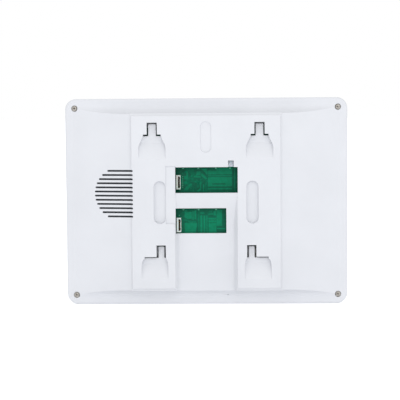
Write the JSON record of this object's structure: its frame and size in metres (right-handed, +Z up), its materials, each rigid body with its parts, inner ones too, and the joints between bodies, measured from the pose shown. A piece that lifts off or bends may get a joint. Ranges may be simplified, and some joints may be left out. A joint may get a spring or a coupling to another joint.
{
  "type": "video intercom monitor",
  "caption": "Flat white wall-hung video intercom monitor with a wide display and keys in front, and hook slots, cable channel, connector windows and speaker grille behind.",
  "frame": {"origin": "centre of the rear platform's flat face, which meets the wall bracket", "axes": "+X to the right as seen from the front, +Y out of the rear face towards the wall, +Z up"},
  "size_m": [0.262, 0.0256, 0.192],
  "materials": {
    "white_housing": "fine satin moulded ABS, cool white",
    "key_plastic": "moulded ABS key caps, soft satin",
    "plated_steel": "zinc-plated steel",
    "tray_steel": "pressed steel, matte",
    "lens_black": "smoked glossy lens with black print behind",
    "tape_black": "double-sided foam tape",
    "lcd_glass": "dark polarised glass",
    "light_guide": "milky white plastic",
    "board_green": "glass-fibre board under green solder mask",
    "header_white": "nylon, off-white",
    "pin_tin": "tinned brass",
    "black_plastic": "black moulded plastic",
    "chip_black": "moulded epoxy",
    "relay_white": "white moulded plastic",
    "ferrite": "grey ferrite",
    "capacitor_can": "aluminium can in a dark sleeve",
    "ribbon_amber": "polyimide flex",
    "ribbon_white": "white flat cable",
    "cloth_black": "black woven dust cloth",
    "foam_grey": "grey foam",
    "cone_black": "treated paper cone",
    "wire_cover": "PVC insulation, red and black",
    "boot_rubber": "black rubber",
    "light_pipe": "clear acrylic"
  },
  "bodies": {
    "monitor": {"rear_cover": "white_housing", "front_shell": "white_housing", "cover_screws": "plated_steel", "display_lens": "lens_black", "lens_tape": "tape_black", "lcd_glass": "lcd_glass", "lcd_light_guide": "light_guide", "lcd_tray": "tray_steel", "lcd_brackets": "plated_steel", "bracket_screws": "plated_steel", "main_board": "board_green", "board_screws": "plated_steel", "door_header": "header_white", "door_header_pins": "pin_tin", "power_header": "header_white", "power_header_pins": "pin_tin", "switch_base": "black_plastic", "switch_can": "plated_steel", "processor": "chip_black", "memory_chips": "chip_black", "video_decoder": "chip_black", "audio_amplifier": "chip_black", "crystal": "plated_steel", "lock_relay": "relay_white", "power_inductor": "ferrite", "capacitors": "capacitor_can", "small_parts": "chip_black", "display_connector": "header_white", "display_ribbon": "ribbon_amber", "key_connectors": "header_white", "key_ribbon": "ribbon_white", "grille_cloth": "cloth_black", "speaker_gasket": "foam_grey", "speaker_frame": "black_plastic", "speaker_cone": "cone_black", "speaker_magnet": "plated_steel", "speaker_screws": "plated_steel", "speaker_socket": "header_white", "speaker_leads": "wire_cover", "key_board": "board_green", "key_board_screws": "plated_steel", "key_switches": "black_plastic", "microphone": "plated_steel", "microphone_boot": "boot_rubber", "status_led": "relay_white", "light_pipe": "light_pipe"},
    "switch_slider": {"switch_lever": "header_white"},
    "monitor_key": {"key_1": "key_plastic", "key_plunger_1": "black_plastic"},
    "unlock_key": {"key_2": "key_plastic", "key_plunger_2": "black_plastic"},
    "talk_key": {"key_3": "key_plastic", "key_plunger_3": "black_plastic"},
    "volume_up_key": {"key_4": "key_plastic", "key_plunger_4": "black_plastic"},
    "volume_down_key": {"key_5": "key_plastic", "key_plunger_5": "black_plastic"}
  },
  "joints": [
    {"name": "switch_slide", "type": "slide", "parent": "monitor", "child": "switch_slider", "axis": [0, 0, 1], "range_m": [-0.0015, 0]},
    {"name": "monitor_key_press", "type": "slide", "parent": "monitor", "child": "monitor_key", "axis": [0, 1, 0], "range_m": [0, 0.0004], "stiffness_N_per_m": 2500},
    {"name": "unlock_key_press", "type": "slide", "parent": "monitor", "child": "unlock_key", "axis": [0, 1, 0], "range_m": [0, 0.0004], "stiffness_N_per_m": 2500},
    {"name": "talk_key_press", "type": "slide", "parent": "monitor", "child": "talk_key", "axis": [0, 1, 0], "range_m": [0, 0.0004], "stiffness_N_per_m": 2500},
    {"name": "volume_up_key_press", "type": "slide", "parent": "monitor", "child": "volume_up_key", "axis": [0, 1, 0], "range_m": [0, 0.0004], "stiffness_N_per_m": 2500},
    {"name": "volume_down_key_press", "type": "slide", "parent": "monitor", "child": "volume_down_key", "axis": [0, 1, 0], "range_m": [0, 0.0004], "stiffness_N_per_m": 2500}
  ]
}
